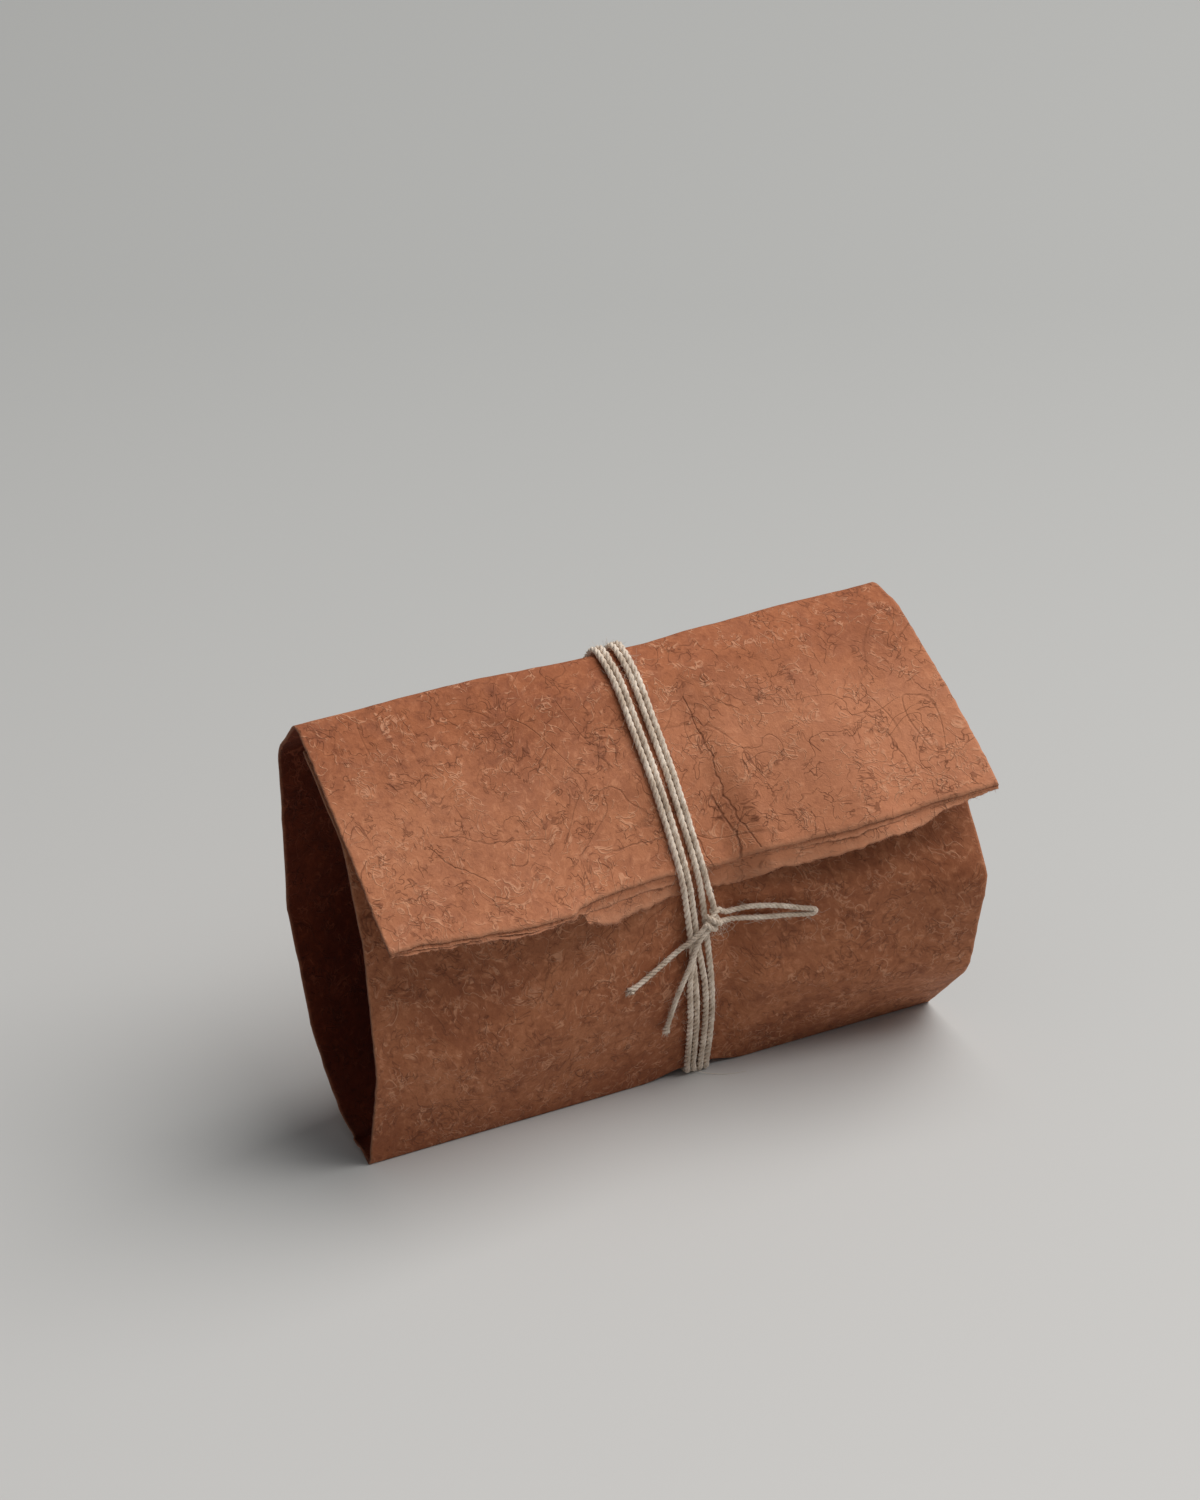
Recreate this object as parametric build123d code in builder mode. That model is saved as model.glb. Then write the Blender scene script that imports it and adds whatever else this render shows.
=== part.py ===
from build123d import *
import os
from math import hypot, pi, tan

# Paper wrapped parcel: one thick sheet rolled about one and a half turns into an open tube,
# its torn flap folded down over the front, and one length of twine wound four times round it.
# Frame: X along the tube, Y front (-) to back (+), Z up, floor at Z = 0.  Millimetres.

# ---- driving dimensions -------------------------------------------------------------------
TUBE_LENGTH = 150.0  # along X, end to end
TUBE_HEIGHT = 100.0  # floor to top fold
TUBE_DEPTH = 56.0    # the free flap corner to the back, at the left end
PAPER_T = 0.7        # sheet thickness
FOLD_R = 0.55        # centre radius of the sharp bottom fold
TWINE_D = 1.55       # one strand
TWINE_GAP = 0.05     # air between a strand and the paper
TURNS = 4            # turns of twine
PAIR_GAP = 1.35      # extra room between the two pairs of strands at the top
STRIP_PLY = 0.5      # share of the thickness that runs on as the torn under ply

MID_X = 75.0         # the middle of the tube, where X = 0
MID_Y = 9.975        # the middle of the whole depth behind the bottom fold, where Y = 0

SX = TUBE_LENGTH / 150.0
SY = TUBE_DEPTH / 56.0
SZ = TUBE_HEIGHT / 100.0
HALF = PAPER_T / 2
SEAT = 0.02      # the base is pressed this far flat against the table
PINCH = TWINE_D + TWINE_GAP  # the bottom fold lifts by this much where the twine runs under it

# Middle line of the sheet at each station, from its inner end to its torn outer edge:
#   inner end | panel top bend | panel | panel low | bottom fold | base crease | bevel |
#   back low | back kink | back top | top fold | flap high | flap mid | flap edge | under ply
# (y, z) at the sizes above; the two base points take their height from the floor.
FLAT, LIFTED = "flat", "lifted"
STATIONS = [
    (0, [(30, 94.6), (10.4, 79.6), (0.8, 57.5), (-4.6, 26), (0.2, FLAT), (8.9, FLAT), (17.8, 7),
         (29.4, 20.7), (41.2, 47.5), (43.6, 88), (34.2, 99.6), (24, 92.2), (6, 78.4),
         (-12.3, 63.5), (-12.8, 63.0)]),
    (34, [(29, 94.2), (9.2, 78.8), (-1.8, 57.5), (-6.2, 26), (0.2, FLAT), (22.8, FLAT), (30, 6.5),
          (36, 20), (42, 47), (43.4, 88), (34, 99.6), (24, 92.8), (6, 78.2),
          (-13.2, 61.8), (-13.9, 61.1)]),
    (74, [(23, 92.4), (7.7, 77.8), (-5.2, 56.4), (-7.8, 30), (0.2, FLAT), (24.2, FLAT), (31.5, 7.5),
          (37, 20), (41.6, 47), (42, 87), (32, 98.2), (23, 95), (6.5, 79),
          (-6.2, 58.6), (-6.7, 53.4)]),
    (82, [(23, 92.4), (7.7, 77.8), (-5.2, 56.4), (-7.8, 30), (0.2, LIFTED), (24.2, LIFTED),
          (31.5, 8), (37, 20), (41.6, 47), (42, 87), (32, 98.2), (23, 95), (6.5, 79),
          (-6.2, 58.6), (-6.7, 53.4)]),
    (89.4, [(23, 92.4), (7.7, 77.8), (-5.2, 56.4), (-7.8, 30), (0.2, LIFTED), (24.2, LIFTED),
            (31.5, 8), (37, 20), (41.6, 47), (42, 87), (32, 98.2), (23, 95), (6.5, 79),
            (-6.2, 58.6), (-6.7, 53.4)]),
    (98, [(20, 90.6), (5.4, 77.2), (-9.8, 53), (-11.6, 27), (0.2, FLAT), (24.2, FLAT), (32, 7.5),
          (37.5, 20), (41.8, 47), (42, 88), (32, 99.2), (22.6, 95.6), (4.5, 81),
          (-13.4, 62.6), (-16.4, 58.4)]),
    (125, [(14, 89.4), (1, 78), (-18, 50.6), (-15.4, 23), (0.2, FLAT), (24.2, FLAT), (32.5, 8.5),
           (38.5, 22), (42, 47), (42, 89), (31.4, 99.6), (21.4, 97.2), (2, 83.6),
           (-18.8, 67.2), (-22, 64)]),
    (150, [(8, 87.6), (-3.2, 78.4), (-24.4, 48), (-17.4, 19), (0.2, FLAT), (24.2, FLAT), (33, 10),
           (39.5, 25), (42.4, 48), (41.6, 90), (30.6, 99.65), (20.6, 98.5), (-0.5, 86),
           (-22.4, 70.9), (-23.2, 70.3)]),
]
# centre radius of each bend, the same list at every station
BENDS = [4, 10, 14, FOLD_R, 1.6, 3, 8, 10, 7, 2.6, 10, 18, 6]


def middle_line(row):
    """One station's points at full size, the base points set on (or lifted off) the floor."""
    points = []
    for y, z in row:
        if z == FLAT:
            z = HALF - SEAT
        elif z == LIFTED:
            z = HALF + PINCH
        else:
            z = z * SZ
        points.append(((y - MID_Y) * SY, z))
    return points


def along(x):
    return (x - MID_X) * SX


def beside(points, distance, closed=False):
    """The line that runs parallel to a run of points, `distance` to the right of travel."""
    out = []
    count = len(points)
    for i, (y, z) in enumerate(points):
        before = points[i - 1] if (i > 0 or closed) else None
        after = points[(i + 1) % count] if (i < count - 1 or closed) else None
        normals = []
        for a, b in ((before, (y, z)), ((y, z), after)):
            if a is not None and b is not None:
                run = hypot(b[0] - a[0], b[1] - a[1])
                normals.append(((b[1] - a[1]) / run, -(b[0] - a[0]) / run))
        if len(normals) == 1:
            ny, nz = normals[0]
            grow = 1.0
        else:
            ny, nz = normals[0][0] + normals[1][0], normals[0][1] + normals[1][1]
            size = hypot(ny, nz)
            ny, nz = ny / size, nz / size
            grow = 1.0 / (ny * normals[0][0] + nz * normals[0][1])
        out.append((y + distance * grow * ny, z + distance * grow * nz))
    return out


def sheet_section(x, row):
    """Cross-section of the sheet at one station, on the plane X = x."""
    middle = middle_line(row)
    outer = beside(middle, HALF)
    inner = beside(middle, -HALF)
    edge = len(middle) - 2  # the flap's outer edge; the under ply runs one point further
    ply = beside(middle, HALF - PAPER_T * (1 - STRIP_PLY))
    with BuildSketch(Plane.YZ.offset(along(x))) as section:
        with BuildLine():
            FilletPolyline(*outer[: edge + 1], radius=[r + HALF for r in BENDS[: edge - 1]])
            Line(outer[edge], ply[edge])
            Line(ply[edge], ply[edge + 1])
            Line(ply[edge + 1], inner[edge + 1])
            FilletPolyline(*inner[::-1], radius=[r - HALF for r in BENDS[:edge]][::-1])
            Line(inner[0], outer[0])
        make_face()
    return section


os.makedirs("parts", exist_ok=True)

# ---- the sheet ----------------------------------------------------------------------------
with BuildPart() as paper_wrap:
    for x, row in STATIONS:
        add(sheet_section(x, row).sketch)
    loft(ruled=True)
    split(bisect_by=Plane.XY, keep=Keep.TOP)  # one true flat face under the base
paper_wrap.part.label = "paper_wrap"
print("paper_wrap", paper_wrap.part.is_valid, "solids", len(paper_wrap.part.solids()),
      round(paper_wrap.part.volume, 1), paper_wrap.part.bounding_box())
export_step(paper_wrap.part, "parts/paper_wrap.step")


# ---- the twine ----------------------------------------------------------------------------
def cord(points, radii=None):
    """One strand along a run of points: straight runs joined by tangent arcs."""
    points = [Vector(*p) for p in points]
    if radii is None:
        radii = []
        for a, b, c in zip(points, points[1:], points[2:]):
            run = min((b - a).length, (c - b).length)
            half = (b - a).get_angle(c - b) / 2 * pi / 180
            radii.append(0.45 * run / tan(half))
    with BuildPart() as strand:
        with BuildLine() as route:
            FilletPolyline(*points, radius=radii)
        start = Plane(origin=route.wire() @ 0, z_dir=route.wire() % 0)
        with BuildSketch(start):
            Circle(TWINE_D / 2)
        sweep()
    print("  cord length", round(route.wire().length, 1), "bends", [round(r, 1) for r in radii][:9],
          "volume / (section x length)",
          round(strand.part.volume / (pi * TWINE_D ** 2 / 4 * route.wire().length), 4))
    return strand.part


# the loop a strand makes round the pinched sheet, from the flap's edge down and round
SHEET_AT_TWINE = middle_line(STATIONS[3][1])
OFF = HALF + TWINE_GAP + TWINE_D / 2
ring = beside(SHEET_AT_TWINE[12:14] + SHEET_AT_TWINE[3:12], OFF, closed=True)
ring_bends = [BENDS[11], 0.2] + BENDS[2:11]
# ring order: flap mid, flap edge, panel low, bottom fold, base crease, bevel, back low,
#             back kink, back top, top fold, flap high
# where the middle of the bundle lies along X at each of those places
DRIFT = [79.0, 79.9, 83.0, 85.7, 85.7, 85.6, 85.2, 83.2, 80.4, 79.3, 79.1]
STEP_LOW = TWINE_D + 0.07  # strand spacing under the base


def spread(turn, share):
    """How far strand `turn` lies from the middle of the bundle; share 0 = top, 1 = base."""
    low = (turn - (TURNS - 1) / 2) * STEP_LOW
    high = low + (PAIR_GAP / 2 if turn >= TURNS / 2 else -PAIR_GAP / 2)
    return high + (low - high) * share


LOW_SHARE = [0.25, 0.4, 0.7, 1, 1, 0.95, 0.8, 0.5, 0.1, 0, 0.1]
KNOT_Z = 50.5 * SZ
knot_y = ring[1][0] + (ring[2][0] - ring[1][0]) * (ring[1][1] - KNOT_Z) / (ring[1][1] - ring[2][1])
KNOT_X = along(80.6)

route, bends = [], []
for turn in range(TURNS):
    if turn == 0:
        route.append((KNOT_X + spread(-0.55, 0.5), knot_y, KNOT_Z - 2.0))
    for place in list(range(2, 11)) + [0, 1]:
        y, z = ring[place]
        # the front run carries each strand over to the next one's place
        number = turn + {0: 0.25, 1: 0.42, 10: 0.1}.get(place, 0)
        if place == 2:
            number = turn - 0.28
        x = along(DRIFT[place]) + spread(turn, LOW_SHARE[place])
        x += (number - turn) * STEP_LOW
        route.append((x, y, z))
        bends.append(ring_bends[place] + OFF)
    if turn == TURNS - 1:
        route.append((KNOT_X + spread(TURNS - 0.45, 0.5), knot_y, KNOT_Z + 2.0))
wound = cord(route, bends)


def front_of_panel(x, z):
    """Y of the front panel's outer face at one place, read off the stations."""
    found = []
    for here, row in STATIONS:
        here, line = along(here), middle_line(row)[1:5]
        for (ya, za), (yb, zb) in zip(line, line[1:]):
            if zb <= z <= za:
                found.append((here, ya + (yb - ya) * (za - z) / (za - zb)))
    for (xa, ya), (xb, yb) in zip(found, found[1:]):
        if xa <= x <= xb:
            return ya + (yb - ya) * (x - xa) / (xb - xa) - HALF


def on_panel(x, z, lift=0.0):
    x, z = along(x), z * SZ
    return (x, front_of_panel(x, z) - TWINE_GAP - TWINE_D / 2 - lift, z)


def on_bundle(dx, dz):
    """A place on top of the four strands, pressed a little into them."""
    return (KNOT_X + dx, knot_y - TWINE_D + 0.12, KNOT_Z + dz)


# the tie: a long tail, over the bundle, out to a flattened loop and back, over again, a tail
tie = [
    on_panel(63.3, 33.1), on_panel(69.6, 39.6, 0.2), on_panel(75.2, 46.4, 0.9),
    on_bundle(-3.1, -1.7), on_bundle(3.9, 2.6),
    on_panel(87.6, 52.6, 0.5), on_panel(92.6, 51.8, 0.7), on_panel(99.4, 50.6, 0.6),
    on_panel(107.8, 48.6, 0.1), on_panel(108.4, 45.6, 0.1),
    on_panel(99.4, 46.9, 0.6), on_panel(92.6, 48.9, 0.7), on_panel(88.0, 50.4, 0.5),
    on_bundle(4.2, 0.8), on_bundle(-2.5, -3.4),
    on_panel(76.5, 41.6, 0.9), on_panel(75.6, 31.0, 0.9), on_panel(74.6, 17.3, 0.4),
]
tied = cord(tie)

with BuildPart() as twine:
    add(wound)
    add(tied)
twine.part.label = "twine"
print("twine", twine.part.is_valid, "solids", len(twine.part.solids()),
      round(twine.part.volume, 1), twine.part.bounding_box())
export_step(twine.part, "parts/twine.step")
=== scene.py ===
"""Looks of the paper wrapped parcel: handmade paper tube with a torn flap, bound with twine."""
import math
import random

import bmesh
import bpy
from mathutils import Matrix, Vector, noise


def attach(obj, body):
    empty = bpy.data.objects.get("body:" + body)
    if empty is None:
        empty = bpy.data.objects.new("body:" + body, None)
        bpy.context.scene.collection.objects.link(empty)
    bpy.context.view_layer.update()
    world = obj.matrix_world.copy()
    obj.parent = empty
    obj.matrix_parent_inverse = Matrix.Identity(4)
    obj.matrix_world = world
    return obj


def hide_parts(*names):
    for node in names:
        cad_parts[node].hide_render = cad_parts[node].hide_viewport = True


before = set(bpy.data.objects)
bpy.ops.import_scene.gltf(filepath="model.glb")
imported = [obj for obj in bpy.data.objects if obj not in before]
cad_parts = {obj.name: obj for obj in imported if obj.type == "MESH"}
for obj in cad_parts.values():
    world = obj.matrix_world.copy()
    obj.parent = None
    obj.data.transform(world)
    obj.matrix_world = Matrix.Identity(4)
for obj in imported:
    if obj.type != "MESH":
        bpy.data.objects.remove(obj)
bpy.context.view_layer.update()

MM = 0.001
LENGTH = 150.0  # of the tube
# Sizes and places below are in mm from the tube's left bottom corner, X along the tube, Y to the
# back and Z up.  The frame's own origin lies here in that measure:
MID_X, MID_Y = LENGTH / 2, 9.975
random.seed(7)


def clamp(value, low=0.0, high=1.0):
    return max(low, min(high, value))


def smooth(low, high, value):
    """0 up to low, 1 from high on, with a soft step between; the other way round if low > high."""
    t = clamp((value - low) / (high - low))
    return t * t * (3 - 2 * t)


def fbm(x, y, z, octaves):
    """Layered noise, mostly between -1 and 1."""
    total, size = 0.0, 1.0
    for _ in range(octaves):
        total += size * noise.noise(Vector((x, y, z)))
        x, y, z, size = x * 2.03 + 5.1, y * 2.03 - 3.7, z * 2.03 + 1.3, size * 0.5
    return total


def eased(table, x):
    """Value at x of a list of (x, value), eased from one listed place to the next."""
    if x <= table[0][0]:
        return table[0][1]
    for (xa, va), (xb, vb) in zip(table, table[1:]):
        if x <= xb:
            return va + (vb - va) * smooth(xa, xb, x)
    return table[-1][1]


# ---- the sheet's shape ---------------------------------------------------------------------
PAPER_T = 0.7
TWINE_X = 81.0  # where the twine holds the flap's edge
FLOOR = PAPER_T / 2  # height of the sheet's middle line where it lies on the floor
LIFT = FLOOR + 1.6  # and where the twine passes under it
# Middle line of the sheet at places along X, as (y, z): inner end, panel top bend, panel,
# panel low, bottom fold, base crease, bevel, back low, back kink, back top, top fold, flap high,
# flap mid, flap edge, end of the under ply.
ROWS = [
    (0, [(30, 94.6), (10.4, 79.6), (0.8, 57.5), (-4.6, 26), (0.2, FLOOR), (8.9, FLOOR), (17.8, 7),
         (29.4, 20.7), (41.2, 47.5), (43.6, 88), (34.2, 99.6), (24, 92.2), (6, 78.4),
         (-12.3, 63.5), (-13.3, 62.7)]),
    (34, [(29, 94.2), (9.2, 78.8), (-1.8, 57.5), (-6.2, 26), (0.2, FLOOR), (22.8, FLOOR), (30, 6.5),
          (36, 20), (42, 47), (43.4, 88), (34, 99.6), (24, 92.8), (6, 78.2),
          (-13.2, 61.8), (-14.4, 60.7)]),
    (72, [(23, 92.4), (7.7, 77.8), (-5.2, 56.4), (-7.8, 30), (0.2, FLOOR), (24.2, FLOOR), (31.5, 7.5),
          (37, 20), (41.6, 47), (42, 87), (32, 99.1), (23, 95.3), (6.5, 79),
          (-6.6, 58.9), (-8.2, 53.6)]),
    (82, [(23, 92.4), (7.7, 77.8), (-5.2, 56.4), (-7.8, 30), (0.2, LIFT), (24.2, LIFT), (31.5, 8),
          (37, 20), (41.6, 47), (42, 87), (32, 98.9), (23, 95.3), (6.5, 79),
          (-6.2, 58.6), (-6.7, 53.4)]),
    (89.4, [(23, 92.4), (7.7, 77.8), (-5.2, 56.4), (-7.8, 30), (0.2, LIFT), (24.2, LIFT), (31.5, 8),
            (37, 20), (41.6, 47), (42, 87), (32, 98.9), (23, 95.3), (6.5, 79),
            (-6.4, 58.7), (-7.4, 53.5)]),
    (98, [(20, 90.6), (5.4, 77.2), (-9.8, 53), (-11.6, 27), (0.2, FLOOR), (24.2, FLOOR), (32, 7.5),
          (37.5, 20), (41.8, 47), (42, 88), (32, 99.2), (22.6, 95.6), (5.0, 80.6),
          (-10.9, 61.8), (-13.0, 57.2)]),
    (125, [(14, 89.4), (1, 78), (-18, 50.6), (-15.4, 23), (0.2, FLOOR), (24.2, FLOOR), (32.5, 8.5),
           (38.5, 22), (42, 47), (42, 89), (31.4, 99.6), (21.4, 97.2), (2, 83.6),
           (-18.8, 67.2), (-22, 64)]),
    (150, [(8, 87.6), (-3.2, 78.4), (-24.4, 48), (-17.4, 19), (0.2, FLOOR), (24.2, FLOOR), (33, 10),
           (39.5, 25), (42.4, 48), (41.6, 90), (30.6, 99.65), (20.6, 98.5), (-0.5, 86),
           (-22.4, 70.9), (-23.2, 70.3)]),
]
FLAP_EDGE = 13  # which point of a row is the flap's edge
BENDS = [4, 10, 14, 0.5, 1.6, 3, 8, 10, 7, 2.6, 10, 18]  # radius of each bend up to that edge
BEND_STEPS = [4, 4, 4, 4, 3, 3, 3, 3, 4, 4, 3, 3]  # samples round each bend
RUN_STEPS = [8, 9, 13, 15, 8, 6, 6, 9, 12, 6, 6, 21, 26]  # samples on each straight run
ACROSS = 250  # samples along X


def row_at(x):
    """The section's control points at any x, eased from one listed place to the next."""
    for (xa, a), (xb, b) in zip(ROWS, ROWS[1:]):
        if x <= xb:
            t = (x - xa) / (xb - xa)
            t = 0.45 * t + 0.55 * t * t * (3 - 2 * t)
            return [(ya + (yb - ya) * t, za + (zb - za) * t) for (ya, za), (yb, zb) in zip(a, b)]
    return ROWS[-1][1]


def section(points):
    """Points along one section, with bends rounded; the same count at every x."""
    line = []
    enter = leave = None
    start = Vector(points[0])
    for i in range(1, len(points)):
        here = Vector(points[i])
        if i < len(points) - 1:
            before, after = Vector(points[i - 1]) - here, Vector(points[i + 1]) - here
            turn = math.pi - before.angle(after)
            cut = min(BENDS[i - 1] * math.tan(turn / 2), 0.45 * before.length, 0.45 * after.length)
            enter, leave = here + before.normalized() * cut, here + after.normalized() * cut
        else:
            enter = leave = here
        steps = RUN_STEPS[i - 1]
        line += [start.lerp(enter, k / steps) for k in range(steps)]
        if i < len(points) - 1:
            steps = BEND_STEPS[i - 1]
            for k in range(steps):
                t = k / steps
                line.append(enter.lerp(here, t).lerp(here.lerp(leave, t), t))
        start = leave
    line.append(Vector(points[-1]))
    return line


# how far the torn edge reaches past (or short of) the flap's straight edge, as (x, reach)
EDGE_REACH = [(0, 0.3), (8, -0.2), (16, 0.2), (25, 0.4), (33, 0.9), (41, 1.3), (47, 1.5), (49.5, 0.0),
              (56, -0.5), (64, -0.8), (72, -0.9), (80, -0.5), (88, -0.2), (96, -0.5), (106, -0.1),
              (116, 0.2), (126, 0.1), (134, -0.3), (141, 0.2), (150, 0.3)]
# how far each torn ply underneath runs on below that edge
MIDDLE_REACH = [(0, 0.3), (12, 0.9), (24, 0.5), (40, 0.9), (47, 0.5), (51, 2.0), (58, 2.6),
                (66, 2.2), (74, 2.5), (80, 1.6), (87, 0.5), (97, 0.4), (105, 1.1), (114, 1.6),
                (122, 1.0), (130, 0.5), (150, 0.3)]
LOWER_REACH = [(0, 0.6), (8, 1.4), (20, 1.1), (34, 1.6), (46, 0.9), (49.5, 1.2), (51.5, 4.6),
               (55.5, 6.4), (59, 7.3), (62.5, 6.6), (66, 5.9), (69, 6.3), (75, 5.4), (84, 5.0),
               (92, 5.7), (100, 4.8), (108, 5.1), (116, 4.6), (124, 4.0), (131, 3.9), (138, 2.0),
               (145, 1.0), (150, 0.5)]


def torn(x, seed, size):
    """Small ragged steps of a hand-torn edge, in mm."""
    rough = fbm(x * 0.35, seed, 0.3, 5) * 0.5 + fbm(x * 2.3, seed, 4.3, 3) * 0.3
    return rough * size


def ripple(x, along):
    """Soft unevenness of thick handmade paper, in mm along the normal."""
    wide = 0.50 * fbm(x * 0.021 + 3.1, along * 0.024, 1.7, 2)
    narrow = 0.24 * fbm(x * 0.070, along * 0.065, 7.7, 3)
    return wide + narrow


def rumple(x, y, z, along):
    """How far the sheet is crushed inwards at the foot of the left opening, in mm."""
    deepest = 3.6
    ridge = 1 - 2.2 * abs(fbm(x * 0.055, along * 0.060, 12.3, 3))
    back = smooth(1.5, 6.0, y)  # the front fold stays straight
    return deepest * clamp(ridge) * back * (1 - smooth(1, 24, x)) * (1 - smooth(3, 13, z))


def stand_off(x, y, z, along, to_edge):
    """How far the sheet's face stands off its plain section at one place, in mm outwards."""
    free = 1 - math.exp(-((x - TWINE_X) / 9) ** 2)  # 0 where the twine holds the sheet
    calm = (1 - 0.85 * (1 - free)) * smooth(0.0, 6.0, abs(z - FLOOR))
    # the torn edge curls a little off the plies under it
    curl = 0.35 + 0.35 * noise.noise(Vector((x * 0.11, 2.5, 0.5)))
    push = ripple(x, along) * calm - rumple(x, y, z, along)
    return push + curl * free * (1 - smooth(0, 5, to_edge))


def sheet_line(x):
    """Middle line of the sheet at x, with the flap stretched or cut short to its torn edge."""
    points = section(row_at(x)[:FLAP_EDGE + 1])
    reach = eased(EDGE_REACH, x) + torn(x, 2.0, 0.45)
    direction = (points[-1] - points[-4]).normalized()
    stretched = 8  # samples that take up the change
    for k in range(stretched + 1):
        j = len(points) - 1 - stretched + k
        points[j] = points[j] + direction * reach * (k / stretched)
    return points


def build_sheet():
    """Columns of (outer, inner) points of the whole sheet, and each point's place on it."""
    columns, places = [], []
    for i in range(ACROSS + 1):
        x = LENGTH * i / ACROSS
        points = sheet_line(x)
        lengths = [0.0]
        for a, b in zip(points, points[1:]):
            lengths.append(lengths[-1] + (b - a).length)
        column, place = [], []
        for j, p in enumerate(points):
            a, b = points[max(j - 1, 0)], points[min(j + 1, len(points) - 1)]
            t = (b - a).normalized()
            normal = Vector((t.y, -t.x))
            along = lengths[j]
            to_edge = lengths[-1] - along
            push = stand_off(x, p.x, p.y, along, to_edge)
            # the flap slips a little to the right towards its edge, and the two ends are uneven
            slip = 3.0 * smooth(75, 0, to_edge) * smooth(60, 150, x)
            fray = 0.22 * fbm(along * 0.5, 3.0, 8.0, 4)
            fray *= smooth(LENGTH - 4, LENGTH, x) - smooth(4, 0, x)
            here = Vector((x + slip + fray, p.x + normal.x * push, p.y + normal.y * push))
            # the sheet thins out over the last of the flap
            thick = PAPER_T / 2 * (0.35 + 0.65 * math.sqrt(clamp(to_edge / 1.4)))
            across = Vector((0, normal.x, normal.y)) * thick
            outer, inner = here + across, here - across
            outer.z, inner.z = max(outer.z, 0.0), max(inner.z, 0.0)
            column.append((outer, inner))
            place.append((to_edge, x))
        columns.append(column)
        places.append(place)
    return columns, places


def mm(v):
    """Millimetres from the corner to metres in the object's own frame."""
    return ((v.x - MID_X) * MM, (v.y - MID_Y) * MM, v.z * MM)


def mesh_object(name, verts, faces, material, smooth_shade=True):
    """A new mesh in the scene with one material."""
    mesh = bpy.data.meshes.new(name)
    mesh.from_pydata(verts, [], faces)
    mesh.update()
    if smooth_shade:
        mesh.polygons.foreach_set("use_smooth", [True] * len(mesh.polygons))
    obj = bpy.data.objects.new(name, mesh)
    bpy.context.scene.collection.objects.link(obj)
    mesh.materials.append(material)
    return obj


INSIDE_MAP = 0.05  # third coordinate of the flat map on the sheet's inner face


def grid_object(name, columns, values, material):
    """A thick sheet from columns of (outer, inner) points, with its own flat map and edge wear."""
    rows = len(columns[0])
    cols = len(columns)
    verts = [mm(pair[0]) for col in columns for pair in col]
    base = len(verts)
    verts += [mm(pair[1]) for col in columns for pair in col]
    faces = []
    for i in range(cols - 1):
        for j in range(rows - 1):
            a, b = i * rows + j, i * rows + j + 1
            c, d = (i + 1) * rows + j + 1, (i + 1) * rows + j
            faces.append((a, d, c, b))
            faces.append((base + a, base + b, base + c, base + d))
    for i in range(cols - 1):
        for j, flip in ((0, False), (rows - 1, True)):
            a, d = i * rows + j, (i + 1) * rows + j
            quad = (a, base + a, base + d, d)
            faces.append(quad[::-1] if flip else quad)
    for j in range(rows - 1):
        for i, flip in ((0, True), (cols - 1, False)):
            a, b = i * rows + j, i * rows + j + 1
            quad = (a, base + a, base + b, b)
            faces.append(quad[::-1] if flip else quad)
    obj = mesh_object(name, verts, faces, material)
    mesh = obj.data
    data, worn = [], []
    # the inner face has a map of its own, beside the outer one's, and less wear
    for side, share in ((0, 1.0), (1, 0.7)):
        for column in values:
            for to_edge, x, wear in column:
                data += [-to_edge * MM, x * MM, side * INSIDE_MAP]
                worn.append(wear * share)
    mesh.attributes.new("flat_place", "FLOAT_VECTOR", "POINT").data.foreach_set("vector", data)
    mesh.attributes.new("edge_wear", "FLOAT", "POINT").data.foreach_set("value", worn)
    bm = bmesh.new()
    bm.from_mesh(mesh)
    bmesh.ops.recalc_face_normals(bm, faces=bm.faces)
    bm.to_mesh(mesh)
    bm.free()
    return obj


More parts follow.
